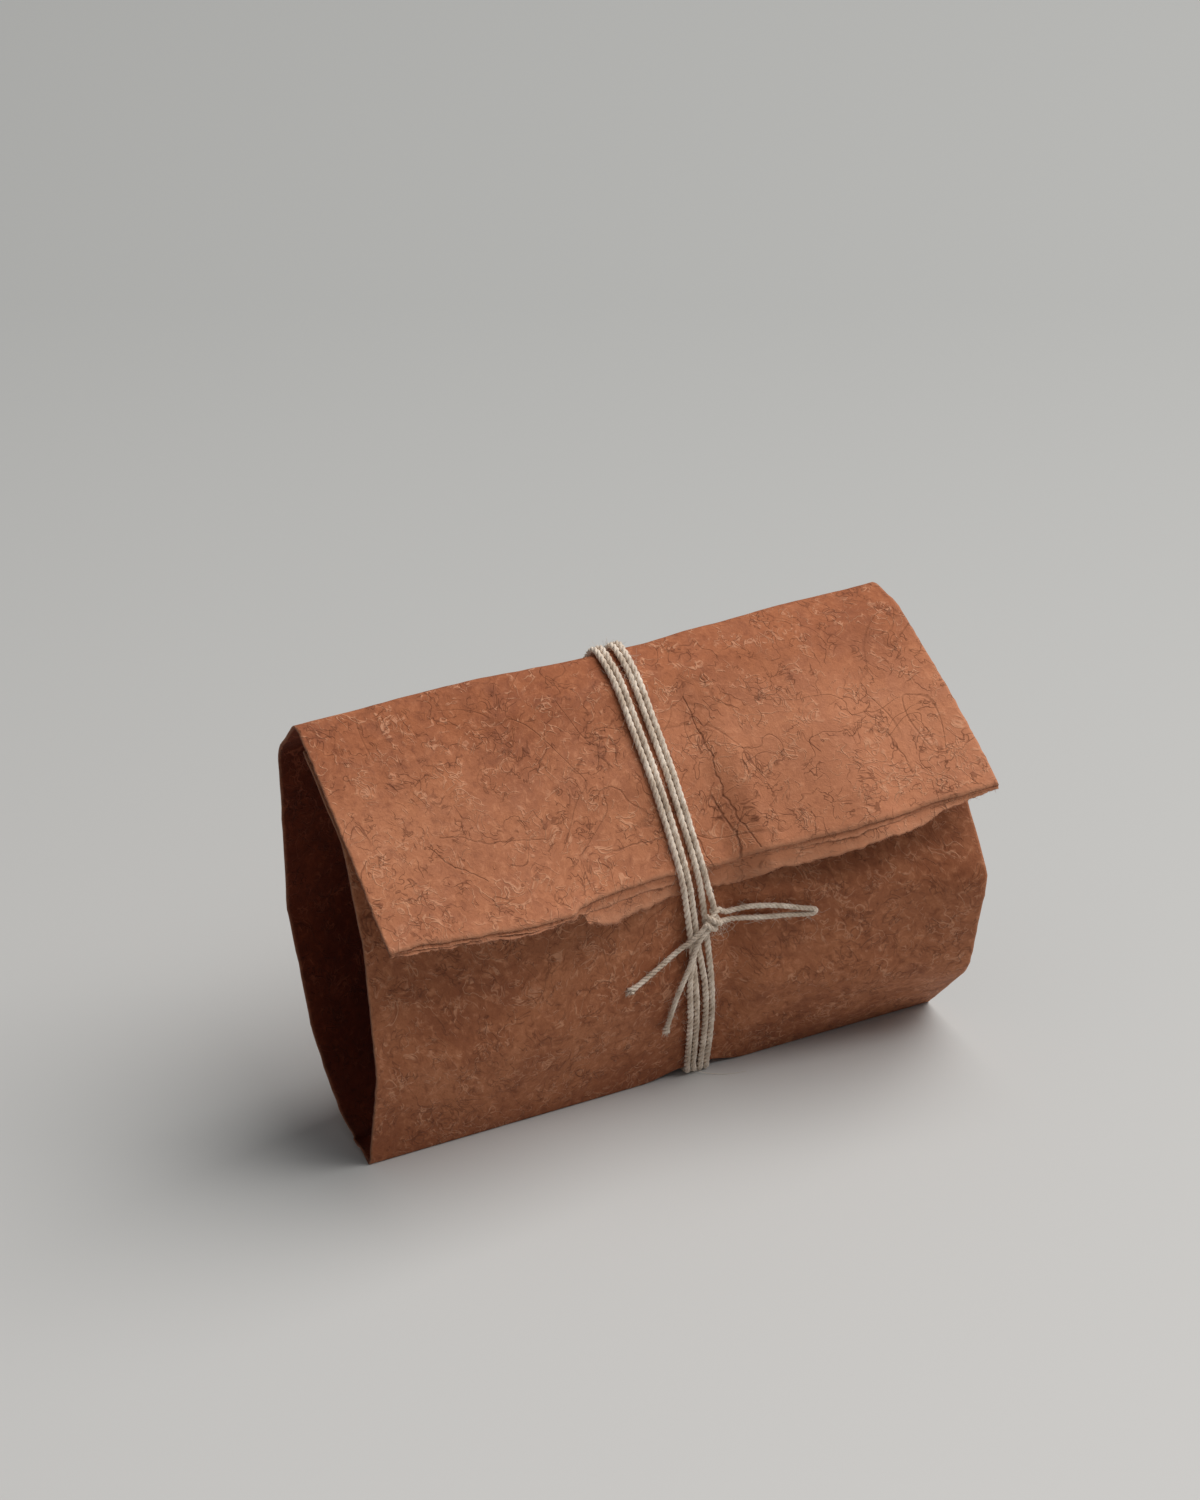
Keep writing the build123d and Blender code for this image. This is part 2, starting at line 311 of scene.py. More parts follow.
# ---- node helpers --------------------------------------------------------------------------
class Nodes:
    """A new material and short calls for building its node tree."""

    def __init__(self, name):
        self.material = bpy.data.materials.new(name)
        self.material.use_nodes = True
        self.tree = self.material.node_tree
        self.bsdf = next(n for n in self.tree.nodes if n.type == "BSDF_PRINCIPLED")

    def add(self, kind, **settings):
        """A node with its settings; in_NAME or in_NUMBER sets or links an input."""
        node = self.tree.nodes.new(kind)
        for key, value in settings.items():
            if key.startswith("in_"):
                name = key[3:].replace("_", " ")
                socket = node.inputs[int(name)] if name.isdigit() else node.inputs[name]
                if isinstance(value, bpy.types.NodeSocket):
                    self.tree.links.new(value, socket)
                else:
                    socket.default_value = value
            else:
                setattr(node, key, value)
        return node

    def link(self, a, b):
        self.tree.links.new(a, b)

    def noise(self, where, scale, detail=4.0, rough=0.55, distort=0.0):
        node = self.add("ShaderNodeTexNoise", in_Vector=where, in_Scale=scale, in_Detail=detail,
                        in_Roughness=rough, in_Distortion=distort)
        return node.outputs["Fac"]

    def span(self, value, low, high, to_low=0.0, to_high=1.0):
        """The value eased from one range to another, and held at its ends."""
        node = self.add("ShaderNodeMapRange")
        node.interpolation_type = "SMOOTHSTEP"
        self.link(value, node.inputs["Value"])
        for key, number in (("From Min", low), ("From Max", high), ("To Min", to_low),
                            ("To Max", to_high)):
            node.inputs[key].default_value = number
        return node.outputs["Result"]

    def vector(self, operation, a, b):
        return self.add("ShaderNodeVectorMath", operation=operation, in_0=a, in_1=b)

    def math(self, operation, a, b=0.0, clamp=False):
        node = self.add("ShaderNodeMath", operation=operation, use_clamp=clamp)
        for socket, value in zip(node.inputs, (a, b)):
            if isinstance(value, bpy.types.NodeSocket):
                self.link(value, socket)
            else:
                socket.default_value = value
        return node.outputs["Value"]

    def mix(self, factor, a, b, blend="MIX"):
        node = self.add("ShaderNodeMix", data_type="RGBA", blend_type=blend)
        node.clamp_factor = True
        for socket, value in ((node.inputs[0], factor), (node.inputs[6], a), (node.inputs[7], b)):
            if isinstance(value, bpy.types.NodeSocket):
                self.link(value, socket)
            else:
                socket.default_value = value
        return node.outputs[2]


# lines pressed into the flap: strength, then places as (distance up from the torn edge, x) in mm
CREASES = [
    (0.55, [(40, 91.2), (24.3, 92.0), (15.1, 92.2), (7.1, 94.2), (1.0, 96.4)]),
    (0.70, [(16.2, 89.6), (6.0, 92.4)]),
    (1.00, [(6.0, 92.4), (-0.5, 91.8)]),
    (0.50, [(8.0, 83.2), (0.0, 86.0)]),
    (0.30, [(18.6, 90.7), (9.8, 83.8)]),
    (0.40, [(9.3, 62.1), (8.7, 77.0)]),
    (0.45, [(23.0, 18.2), (17.2, 23.1), (12.8, 29.0)]),
    (0.30, [(25.2, 22.0), (21.5, 34.0), (18.4, 49.0)]),
    (0.35, [(20.0, 131.4), (8.6, 133.0)]),
]


def near_line(nodes, place, start, end, width):
    """Mask that is 1 on the straight line between two places and fades out over a width."""
    a, run = Vector((*start, 0)), Vector((*end, 0)) - Vector((*start, 0))
    from_a = nodes.vector("SUBTRACT", place, a).outputs["Vector"]
    share = nodes.math("MULTIPLY", nodes.vector("DOT_PRODUCT", from_a, run).outputs["Value"],
                       1 / run.length_squared, clamp=True)
    foot = nodes.add("ShaderNodeVectorMath", operation="SCALE", in_0=tuple(run), in_Scale=share)
    away = nodes.vector("DISTANCE", from_a, foot.outputs["Vector"]).outputs["Value"]
    return nodes.span(away, width, 0.0)


def thin_lines(nodes, place, seed, scale, width, low, high):
    """Short curled lines that run every way, as fibres do in handmade paper."""
    moved = nodes.vector("ADD", place, (seed, -0.6 * seed, 0.3)).outputs["Vector"]
    field = nodes.noise(moved, scale, 2, 0.5, distort=1.1)
    line = nodes.span(nodes.math("ABSOLUTE", nodes.math("SUBTRACT", field, 0.5)), width, 0.0)
    return nodes.math("MULTIPLY", line, nodes.span(nodes.noise(moved, scale * 0.8, 1), low, high))


def pulp(nodes, place, blotch, mottle, grain):
    """Brown of the pulp, uneven at four scales, from about 30 mm down to a grain."""
    cloud = nodes.noise(place, 30, 5, 0.6, distort=0.4)
    colour = nodes.mix(nodes.span(cloud, 0.32, 0.68), (0.325, 0.104, 0.043, 1),
                       (0.455, 0.169, 0.076, 1))
    for field, low, high, most, shade in ((blotch, 0.50, 0.72, 0.55, (0.520, 0.204, 0.096, 1)),
                                          (blotch, 0.48, 0.28, 0.60, (0.255, 0.076, 0.030, 1)),
                                          (mottle, 0.50, 0.70, 0.75, (0.590, 0.246, 0.124, 1)),
                                          (mottle, 0.49, 0.30, 0.70, (0.215, 0.062, 0.024, 1)),
                                          (grain, 0.45, 0.75, 0.35, (0.200, 0.061, 0.026, 1))):
        colour = nodes.mix(nodes.span(field, low, high, 0, most), colour, shade)
    return colour


def painted_flap_light(nodes, spots, colour):
    """Painted light on the flap: a paler painted highlight towards its lower right, and darker, redder
    painted shade over the top fold.
    """
    # painted highlight: the flap's lower right is mixed towards a paler brown
    low = nodes.span(spots["X"], -0.085, -0.010)
    right = nodes.span(spots["Y"], 0.060, 0.120, 0.42, 1.0)
    painted_flap_highlight = nodes.math("MULTIPLY", nodes.math("MULTIPLY", low, right), 0.55)
    colour = nodes.mix(painted_flap_highlight, colour, (0.660, 0.262, 0.135, 1))
    # painted shade: darker and redder from the flap's upper part over the top fold
    high, back = nodes.span(spots["X"], -0.026, -0.054), nodes.span(spots["X"], -0.21, -0.17)
    top = nodes.math("MULTIPLY", high, back)
    return nodes.mix(top, colour, (0.83, 0.72, 0.64, 1), "MULTIPLY")


def fibres_and_painted_groove_shade(nodes, place, colour, bump):
    """Fibres that lie in the paper's face, pale and dark, and fine grooves with painted shade along
    them.
    """
    for seed, scale, width, amount, shade in ((0.0, 190, 0.030, 0.80, (0.640, 0.304, 0.172, 1)),
                                              (0.7, 260, 0.036, 0.75, (0.600, 0.275, 0.155, 1)),
                                              (1.9, 170, 0.024, 0.58, (0.150, 0.041, 0.016, 1)),
                                              (3.1, 240, 0.032, 0.58, (0.165, 0.047, 0.018, 1))):
        line = thin_lines(nodes, place, seed, scale, width, 0.50, 0.62)
        colour = nodes.mix(nodes.math("MULTIPLY", line, amount), colour, shade)
        bump = nodes.math("ADD", bump, nodes.math("MULTIPLY", line, 0.22))
    # painted shade: fine grooves, darkened along their length
    for seed, scale, width in ((5.0, 20, 0.0050), (7.0, 34, 0.0060)):
        line = thin_lines(nodes, place, seed, scale, width, 0.50, 0.60)
        colour = nodes.mix(nodes.math("MULTIPLY", line, 0.26), colour, (0.160, 0.048, 0.019, 1))
        bump = nodes.math("SUBTRACT", bump, nodes.math("MULTIPLY", line, 0.22))
    return colour, bump


def creases_with_painted_shade(nodes, place, colour, bump):
    """The listed creases and the slit by the twine, each a little crooked, as grooves with painted shade
    along them.
    """
    wander = nodes.add("ShaderNodeTexNoise", in_Vector=place, in_Scale=260, in_Detail=2)
    wander = nodes.vector("SUBTRACT", wander.outputs["Color"], (0.5, 0.5, 0.5)).outputs["Vector"]
    wander = nodes.vector("MULTIPLY", wander, (0.0022, 0.0022, 0)).outputs["Vector"]
    bent = nodes.vector("ADD", place, wander).outputs["Vector"]
    for strength, points in CREASES:
        flat = [(-up * MM, x * MM) for up, x in points]
        for start, end in zip(flat, flat[1:]):
            line = near_line(nodes, bent, start, end, (0.24 + 0.22 * strength) * MM)
            # painted shade: each crease and the slit darkened along its line
            colour = nodes.mix(nodes.math("MULTIPLY", line, 0.60 * strength), colour,
                               (0.105, 0.028, 0.012, 1))
            bump = nodes.math("SUBTRACT", bump, nodes.math("MULTIPLY", line, 0.7 * strength))
    return colour, bump


def paper_material():
    """Thick brown handmade paper."""
    nodes = Nodes("paper")
    place = nodes.add("ShaderNodeAttribute", attribute_name="flat_place").outputs["Vector"]
    worn = nodes.add("ShaderNodeAttribute", attribute_name="edge_wear").outputs["Fac"]
    spots = nodes.add("ShaderNodeSeparateXYZ", in_Vector=place).outputs
    blotch = nodes.noise(place, 120, 5, 0.62, distort=0.7)
    mottle = nodes.noise(place, 430, 5, 0.68, distort=0.5)
    grain = nodes.noise(place, 1500, 3, 0.7)
    colour = painted_flap_light(nodes, spots, pulp(nodes, place, blotch, mottle, grain))
    colour, bump = fibres_and_painted_groove_shade(nodes, place, colour, nodes.math("MULTIPLY", mottle, 0.45))
    colour, bump = creases_with_painted_shade(nodes, place, colour, bump)
    # painted shade: the face inside the tube is darker and redder than the outer face
    inside = nodes.span(spots["Z"], 0.2 * INSIDE_MAP, 0.8 * INSIDE_MAP)
    colour = nodes.mix(inside, colour, (0.46, 0.24, 0.18, 1), "MULTIPLY")
    # torn and cut edges are paler and fuzzy
    fuzz = nodes.noise(place, 520, 4, 0.7)
    pale = nodes.math("MULTIPLY", worn, nodes.span(fuzz, 0.30, 0.62, 0.35, 1.0))
    colour = nodes.mix(pale, colour, (0.560, 0.257, 0.146, 1))
    bump = nodes.math("ADD", bump, nodes.math("MULTIPLY", grain, 0.18))
    bumper = nodes.add("ShaderNodeBump", in_Strength=0.75, in_Distance=0.0007, in_Height=bump)
    nodes.link(colour, nodes.bsdf.inputs["Base Color"])
    nodes.link(bumper.outputs["Normal"], nodes.bsdf.inputs["Normal"])
    nodes.link(nodes.span(blotch, 0.3, 0.7, 0.66, 0.82), nodes.bsdf.inputs["Roughness"])
    nodes.bsdf.inputs["Specular IOR Level"].default_value = 0.22
    nodes.bsdf.inputs["Sheen Weight"].default_value = 0.05
    nodes.bsdf.inputs["Sheen Roughness"].default_value = 0.6
    nodes.bsdf.inputs["Sheen Tint"].default_value = (1.0, 0.78, 0.64, 1)
    return nodes.material


def twine_material(name, dark, light):
    """Undyed natural fibre between a dark and a light tone."""
    nodes = Nodes(name)
    place = nodes.add("ShaderNodeTexCoord").outputs["Object"]
    tone = nodes.noise(place, 210, 4, 0.6)
    fleck = nodes.noise(place, 2100, 3, 0.7)
    colour = nodes.mix(nodes.span(tone, 0.36, 0.64), dark, light)
    colour = nodes.mix(nodes.span(fleck, 0.52, 0.74, 0, 0.50), colour, (0.300, 0.225, 0.160, 1))
    bumper = nodes.add("ShaderNodeBump", in_Strength=0.6, in_Distance=0.0002, in_Height=fleck)
    nodes.link(colour, nodes.bsdf.inputs["Base Color"])
    nodes.link(bumper.outputs["Normal"], nodes.bsdf.inputs["Normal"])
    nodes.bsdf.inputs["Roughness"].default_value = 0.72
    nodes.bsdf.inputs["Specular IOR Level"].default_value = 0.30
    nodes.bsdf.inputs["Sheen Weight"].default_value = 0.20
    nodes.bsdf.inputs["Sheen Roughness"].default_value = 0.5
    return nodes.material


PAPER = paper_material()
TWINE = twine_material("twine", (0.600, 0.475, 0.365, 1), (0.880, 0.750, 0.625, 1))
HAIR = twine_material("twine_hair", (0.640, 0.530, 0.420, 1), (0.840, 0.740, 0.630, 1))


# ---- the paper -----------------------------------------------------------------------------
def paper_wrap():
    """The sheet as one piece; returns its columns of points and the middle of its torn edge."""
    columns, places = build_sheet()
    values = []
    for place in places:
        values.append([])
        for to_edge, x in place:
            to_side = min(x, LENGTH - x)
            wear = 0.75 * (1 - smooth(0.1, 1.6, to_edge)) + 0.5 * (1 - smooth(0.1, 0.7, to_side))
            values[-1].append((to_edge, x, clamp(wear)))
    obj = grid_object("paper_wrap_sheet", columns, values, PAPER)
    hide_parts("paper_wrap")
    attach(obj, "root")
    rim = [(column[-1][0] + column[-1][1]) * 0.5 for column in columns]
    return columns, rim


PLY_T = 0.34  # thickness of a torn ply


def torn_ply(name, columns, reaches, depth, seed, rough):
    """A torn ply that shows below the flap's edge, depth mm under it; returns its rim."""
    cols, values, rim = [], [], []
    steps, hidden = 14, 0.35  # samples from root to rim, and the share of them under the flap
    for i, column in enumerate(columns):
        x = LENGTH * i / ACROSS
        root, lip = column[-7][1], column[-1][1]  # on the flap's inner face
        row = row_at(x)
        to = (Vector(row[FLAP_EDGE + 1]) - Vector(row[FLAP_EDGE])).normalized()
        out = Vector((0, to.y, -to.x))
        if out.y > 0:
            out = -out
        reach = max(0.2, eased(reaches, x) + torn(x, seed, rough))
        side, marks = [], []
        for k in range(steps + 1):
            t = k / steps
            past = clamp((t - hidden) / (1 - hidden))
            if t < hidden:
                here = root.lerp(lip, t / hidden)
            else:
                here = lip + Vector((0, to.x, to.y)) * reach * past
            wave = 0.30 * fbm(x * 0.14, t * 1.6, seed, 3) * smooth(hidden, 1.0, t)
            here = here - out * (depth * smooth(0.1, 0.5, t) + 0.15 * past - wave)
            thick = PLY_T * (1 - 0.7 * smooth(0.7, 1.0, t))
            side.append((here, here - out * thick))
            # each ply takes its pattern from a stretch of its own
            marks.append((-reach * past - 5 * seed, x, 0.15 + 0.65 * smooth(0.6, 1.0, t)))
        cols.append(side)
        values.append(marks)
        rim.append(side[-1][0])
    obj = grid_object(name, cols, values, PAPER)
    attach(obj, "root")
    return rim


# ---- tubes and hairs -----------------------------------------------------------------------
def frames_along(points):
    """Tangent and side vectors that turn as little as they can along a run of points."""
    tangents = []
    for i in range(len(points)):
        a, b = points[max(i - 1, 0)], points[min(i + 1, len(points) - 1)]
        tangents.append((b - a).normalized())
    side = tangents[0].orthogonal().normalized()
    sides = []
    for t in tangents:
        side = (side - t * side.dot(t)).normalized()
        sides.append(side.copy())
    return tangents, sides


def tube(points, radius, sides, verts, faces, taper=1.0):
    """Adds a tube along points to lists of vertices and faces; taper is its end's share of radius."""
    tangents, across = frames_along(points)
    base = len(verts)
    for i, p in enumerate(points):
        t, s = tangents[i], across[i]
        u = t.cross(s)
        r = radius * (1 - (1 - taper) * i / (len(points) - 1))
        for k in range(sides):
            angle = 2 * math.pi * k / sides
            verts.append(p + (s * math.cos(angle) + u * math.sin(angle)) * r)
    for i in range(len(points) - 1):
        for k in range(sides):
            a, b = base + i * sides + k, base + i * sides + (k + 1) % sides
            faces.append((a, b, b + sides, a + sides))
    faces.append(tuple(base + k for k in reversed(range(sides))))
    last = base + (len(points) - 1) * sides
    faces.append(tuple(last + k for k in range(sides)))


def edge_fibres(name, rim, count, longest, outward):
    """Short pale fibres that stand out of a torn edge."""
    verts, faces = [], []
    for _ in range(count):
        i = random.randrange(2, len(rim) - 2)
        base = rim[i].lerp(rim[i + 1], random.random())
        length = longest * random.random() ** 2.2 + 0.25
        direction = Vector((random.gauss(0, 0.75), 0, 0)) + outward
        direction += Vector((0, random.gauss(0, 0.3), random.gauss(0, 0.25)))
        direction.normalize()
        curl = Vector((random.gauss(0, 1), random.gauss(0, 0.5), random.gauss(0, 0.5))) * 0.35
        pts = []
        for k in range(4):
            t = k / 3
            p = base + direction * (length * t - 0.2) + curl * length * t * t * 0.6
            pts.append(Vector(mm(p)))
        tube(pts, random.uniform(0.014, 0.028) * MM, 3, verts, faces, 0.4)
    obj = mesh_object(name, verts, faces, FIBRE)
    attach(obj, "root")


def fibre_material():
    """Single fibres of the paper."""
    nodes = Nodes("paper_fibre")
    place = nodes.add("ShaderNodeTexCoord").outputs["Object"]
    tone = nodes.noise(place, 700, 3)
    colour = nodes.mix(nodes.span(tone, 0.35, 0.65), (0.360, 0.140, 0.075, 1),
                       (0.600, 0.310, 0.200, 1))
    nodes.link(colour, nodes.bsdf.inputs["Base Color"])
    nodes.bsdf.inputs["Roughness"].default_value = 0.8
    return nodes.material


FIBRE = fibre_material()

# ---- the twine -----------------------------------------------------------------------------
TWINE_D = 1.55
TURNS = 4
STEP_LOW = TWINE_D + 0.07  # from one strand to the next under the base
PAIR_GAP = 1.35  # extra between the two pairs of strands over the top
# one turn round the parcel, from the panel's low bulge under the base and over the top to the
# flap's edge: y, z, middle of the bundle in x, share of the way from top spacing to base spacing
RING = [
    (-9.0, 30.2, 82.3, 0.3), (-8.0, 22.0, 83.1, 0.4), (-4.6, 12.0, 84.4, 0.5), (-1.3, 3.0, 85.3, 0.7),
    (-0.9, 0.8, 85.7, 1), (0.9, 0.75, 85.7, 1), (8.0, 0.75, 85.7, 1), (16.0, 0.75, 85.7, 1),
    (23.2, 0.78, 85.7, 1), (26.0, 1.9, 85.7, 0.98), (32.4, 7.2, 85.6, 0.95), (35.6, 13.5, 85.4, 0.9),
    (38.4, 19.8, 85.2, 0.8), (40.8, 33.0, 84.2, 0.7), (42.8, 46.8, 83.2, 0.5), (43.1, 60.0, 82.0, 0.3),
    (43.3, 74.0, 81.0, 0.2), (43.6, 86.0, 80.5, 0.1), (42.2, 89.8, 80.3, 0.1), (37.2, 95.4, 79.7, 0.05),
    (33.8, 99.5, 79.3, 0), (31.6, 100.2, 79.3, 0), (27.6, 98.8, 79.2, 0.05), (22.3, 96.4, 79.1, 0.1),
    (14.2, 88.6, 79.0, 0.2), (5.6, 79.7, 79.0, 0.25), (-0.8, 69.8, 79.4, 0.32), (-7.2, 59.2, 79.9, 0.25),
    (-8.1, 51.0, 80.6, 0.2), (-8.7, 40.0, 81.5, 0.25),
]


def spread(turn, share):
    """One turn's place across the bundle: pairs over the top at share 0, evenly laid at 1."""
    low = (turn - (TURNS - 1) / 2) * STEP_LOW
    high = low + (PAIR_GAP / 2 if turn >= TURNS / 2 else -PAIR_GAP / 2)
    return high + (low - high) * share


def wound_route():
    """Control points of the four turns, from the knot down and round, back to the knot."""
    route = [(84.2, -9.5, 46.2), (82.2, -9.5, 44.6), (80.4, -9.2, 41.6), (79.6, -9.1, 36.6)]
    # how far each strand has moved over to the next one's place, on its way down the front
    moved = {0: -0.28, 1: -0.2, 2: -0.1}
    moved.update({len(RING) - 5 + i: share for i, share in enumerate((0.15, 0.3, 0.42, 0.55, 0.65))})
    for turn in range(TURNS):
        ring = RING[:-2] if turn == TURNS - 1 else RING
        for i, (y, z, x, share) in enumerate(ring):
            route.append((x + spread(turn, share) + moved.get(i, 0.0) * STEP_LOW, y, z))
    return route + [(84.2, -8.2, 54.2), (85.0, -8.9, 51.0), (85.4, -9.3, 48.4), (84.8, -9.5, 46.6)]


TIE_D = 1.3  # the free ends are drawn tighter than the wound strands
# the tie: the long tail up to the knot, round its top, out to the flattened loop and back, down
TIE_ROUTE = [
    (63.7, -8.1, 32.6), (66.2, -8.2, 34.0), (68.9, -8.3, 35.7), (71.8, -8.3, 37.4), (74.8, -8.3, 39.4),
    (77.3, -8.8, 41.2), (79.3, -9.5, 42.7), (81.2, -10.1, 44.6), (83.1, -10.2, 46.8),
    (84.9, -9.9, 48.6), (86.5, -9.0, 49.0), (87.4, -8.2, 47.9), (88.9, -8.1, 46.9),
    (91.3, -8.5, 47.3), (94.7, -10.1, 48.1), (99.2, -12.1, 48.0), (102.6, -13.1, 47.3),
    (106.1, -13.9, 46.2), (108.4, -14.6, 45.9), (109.3, -14.9, 45.3), (108.6, -14.8, 44.5),
    (106.1, -13.9, 44.6), (101.5, -12.7, 45.0), (96.9, -11.3, 45.0), (91.9, -8.9, 45.0),
    (88.4, -8.3, 45.2), (86.4, -9.5, 45.5), (84.3, -10.2, 45.3), (82.3, -10.3, 44.3),
    (80.9, -10.1, 42.6), (80.1, -9.8, 40.4), (79.1, -9.7, 37.4), (78.0, -9.6, 34.3),
    (76.6, -9.5, 31.2), (75.5, -9.2, 28.2), (74.8, -8.4, 24.6), (74.5, -7.3, 21.0),
    (74.3, -6.1, 17.6),
]
# the knot itself: nearly two close turns round the crossing strands
KNOT = Vector((84.6, -9.7, 46.6))
KNOT_AXIS = Vector((0.74, 0.0, 0.67))


def knot_route():
    """Control points of the close turns, as a flattened helix round the knot's axis."""
    up = Vector((0, -1, 0))
    side = KNOT_AXIS.cross(up).normalized()
    count, turn_by, length, high, wide = 22, 32, 3.3, 1.25, 2.1
    route = []
    for k in range(count):
        angle = math.radians(turn_by * k - 60)
        centre = KNOT + KNOT_AXIS * (k / (count - 1) - 0.5) * length
        route.append(tuple(centre + up * math.cos(angle) * high + side * math.sin(angle) * wide))
    return route


def smooth_route(name, route):
    """Points read off a NURBS spline with the route's points as its control points."""
    curve = bpy.data.curves.new(name + "_route", "CURVE")
    curve.dimensions = "3D"
    spline = curve.splines.new("NURBS")
    spline.points.add(len(route) - 1)
    for point, (x, y, z) in zip(spline.points, route):
        point.co = ((x - MID_X) * MM, (y - MID_Y) * MM, z * MM, 1)
    spline.order_u = 3
    spline.use_endpoint_u = True
    spline.resolution_u = 8
    holder = bpy.data.objects.new(name + "_route", curve)
    mesh = bpy.data.meshes.new_from_object(holder)
    points = [v.co.copy() for v in mesh.vertices]
    bpy.data.objects.remove(holder)
    bpy.data.meshes.remove(mesh)
    return points


def even(points, step):
    """The same line with points an even step apart."""
    out, carry = [points[0].copy()], 0.0
    for a, b in zip(points, points[1:]):
        run = (b - a).length
        while carry + run >= step and run > 0:
            a = a.lerp(b, (step - carry) / run)
            out.append(a.copy())
            run = (b - a).length
            carry = 0.0
        carry += run
    out.append(points[-1].copy())
    return out


def ply_tubes(points, diameter, lay, seed, loose_ends):
    """Three twisted plies round a line, each a little uneven, as lists of vertices and faces.

    lay is the length of one twist; loose_ends is how many points at each end open out.
    """
    plies, sides = 3, 6
    verts, faces = [], []
    tangents, across = frames_along(points)
    offset, radius = diameter * 0.245, diameter * 0.270
    count = len(points)
    for ply in range(plies):
        line, run = [], 0.0
        for i, p in enumerate(points):
            if i:
                run += (p - points[i - 1]).length
            angle = 2 * math.pi * (ply / plies + run / lay) + 0.35 * noise.noise(
                Vector((run * 260, seed, ply)))
            out = across[i] * math.cos(angle) + tangents[i].cross(across[i]) * math.sin(angle)
            wide = 1 + 0.24 * noise.noise(Vector((run * 420, seed + 3, ply * 2.0)))
            for end, size in zip((i, count - 1 - i), loose_ends):
                if size and end < size:
                    wide += 1.5 * (1 - end / size) ** 1.5
            line.append(p + out * offset * wide)
        tube(line, radius, sides, verts, faces)
    return verts, faces


def any_way(rng):
    """A random vector with no favoured direction."""
    return Vector((rng.gauss(0, 1), rng.gauss(0, 1), rng.gauss(0, 1)))


def hair_object(name, verts, faces):
    """Fibres of the twine as one piece, none of them below the floor."""
    for v in verts:
        v.z = max(v.z, 0.02 * MM)
    obj = mesh_object(name, verts, faces, HAIR)
    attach(obj, "root")


def twine_hairs(name, points, diameter, count, longest, seed):
    """Fine flyaway fibres along a strand."""
    rng = random.Random(seed)
    verts, faces = [], []
    tangents, across = frames_along(points)
    for _ in range(count):
        i = rng.randrange(2, len(points) - 3)
        angle = rng.uniform(0, 2 * math.pi)
        out = across[i] * math.cos(angle) + tangents[i].cross(across[i]) * math.sin(angle)
        start = points[i] + out * diameter * 0.40
        length = longest * rng.random() ** 2.4 + 0.6 * MM
        head = (out * rng.uniform(0.15, 0.8) + tangents[i] * rng.choice((-1, 1))).normalized()
        bend = any_way(rng) * 0.4
        line = []
        for k in range(5):
            t = k / 4
            line.append(start + (head * t + bend * t * t * 0.5 + out * t * 0.1) * length)
        tube(line, rng.uniform(0.020, 0.040) * MM, 3, verts, faces, 0.5)
    hair_object(name, verts, faces)


def end_brush(rng, verts, faces, tip, inside, diameter):
    """Loose fibres that stand out of one cut end of the tie."""
    ahead = (tip - inside).normalized()
    for _ in range(46):
        aim = any_way(rng)
        start, edge = inside + aim * diameter * 0.20, tip + aim * diameter * 0.26
        far = edge + (ahead + aim * 0.30).normalized() * rng.uniform(0.3, 1.3) * MM
        tube([start, edge, far], rng.uniform(0.03, 0.06) * MM, 4, verts, faces, 0.5)


def knot_curls(rng, verts, faces):
    """Longer fibres that curl out of the front of the knot."""
    middle = Vector(mm(KNOT)) + Vector((0, -1.2 * MM, 0))
    steps = 8
    for _ in range(14):
        aim = Vector((rng.gauss(0, 1), -abs(rng.gauss(0, 0.5)), rng.gauss(0, 1))).normalized()
        turn = Vector((rng.gauss(0, 1), rng.gauss(0, 0.3), -abs(rng.gauss(0, 1)))).normalized()
        size = rng.uniform(1.5, 4.5) * MM * 0.8
        line = []
        for k in range(steps + 1):
            angle = math.pi * 1.1 * k / steps
            line.append(middle + (aim * math.sin(angle) + turn * (1 - math.cos(angle)) * 0.6) * size)
        tube(line, 0.03 * MM, 4, verts, faces, 0.6)


def frayed_ends(points, diameter):
    """Loose fibres at the tie's two cut ends and at the knot, as one piece."""
    rng = random.Random(21)
    verts, faces = [], []
    end_brush(rng, verts, faces, points[0], points[4], diameter)
    end_brush(rng, verts, faces, points[-1], points[-5], diameter)
    knot_curls(rng, verts, faces)
    hair_object("twine_frayed_ends", verts, faces)


# a single fibre that lies on the floor in front of the twine
WISP = [(85.0, -1.2, 0.9), (86.5, -2.6, 0.5), (89.0, -4.0, 0.15), (92.0, -5.6, 0.1), (96.0, -6.2, 0.1)]


def twine():
    """The wound turns, the tie, the knot and their loose fibres."""
    wound = even(smooth_route("wound", wound_route()), 0.42 * MM)
    tie = even(smooth_route("tie", TIE_ROUTE), 0.30 * MM)
    knot = even(smooth_route("knot", knot_route()), 0.25 * MM)
    for name, points, wide, lay, seed, loose in (("twine_wound", wound, TWINE_D, 5.0, 1.0, (0, 0)),
                                                 ("twine_tie", tie, TIE_D, 3.3, 2.0, (7, 7)),
                                                 ("twine_knot", knot, TIE_D, 3.3, 3.0, (0, 0))):
        verts, faces = ply_tubes(points, wide * MM, lay * MM, seed, loose)
        for v in verts:
            v.z = max(v.z, 0.0)
        obj = mesh_object(name, verts, faces, TWINE)
        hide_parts("twine")
        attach(obj, "root")
    twine_hairs("twine_hair_wound", wound, TWINE_D * MM, 2600, 2.6 * MM, 11)
    twine_hairs("twine_hair_tie", tie, TIE_D * MM, 520, 2.4 * MM, 12)
    frayed_ends(tie, TIE_D * MM)
    verts, faces = [], []
    tube(smooth_route("wisp", WISP), 0.07 * MM, 4, verts, faces, 0.4)
    hair_object("twine_wisp", verts, faces)


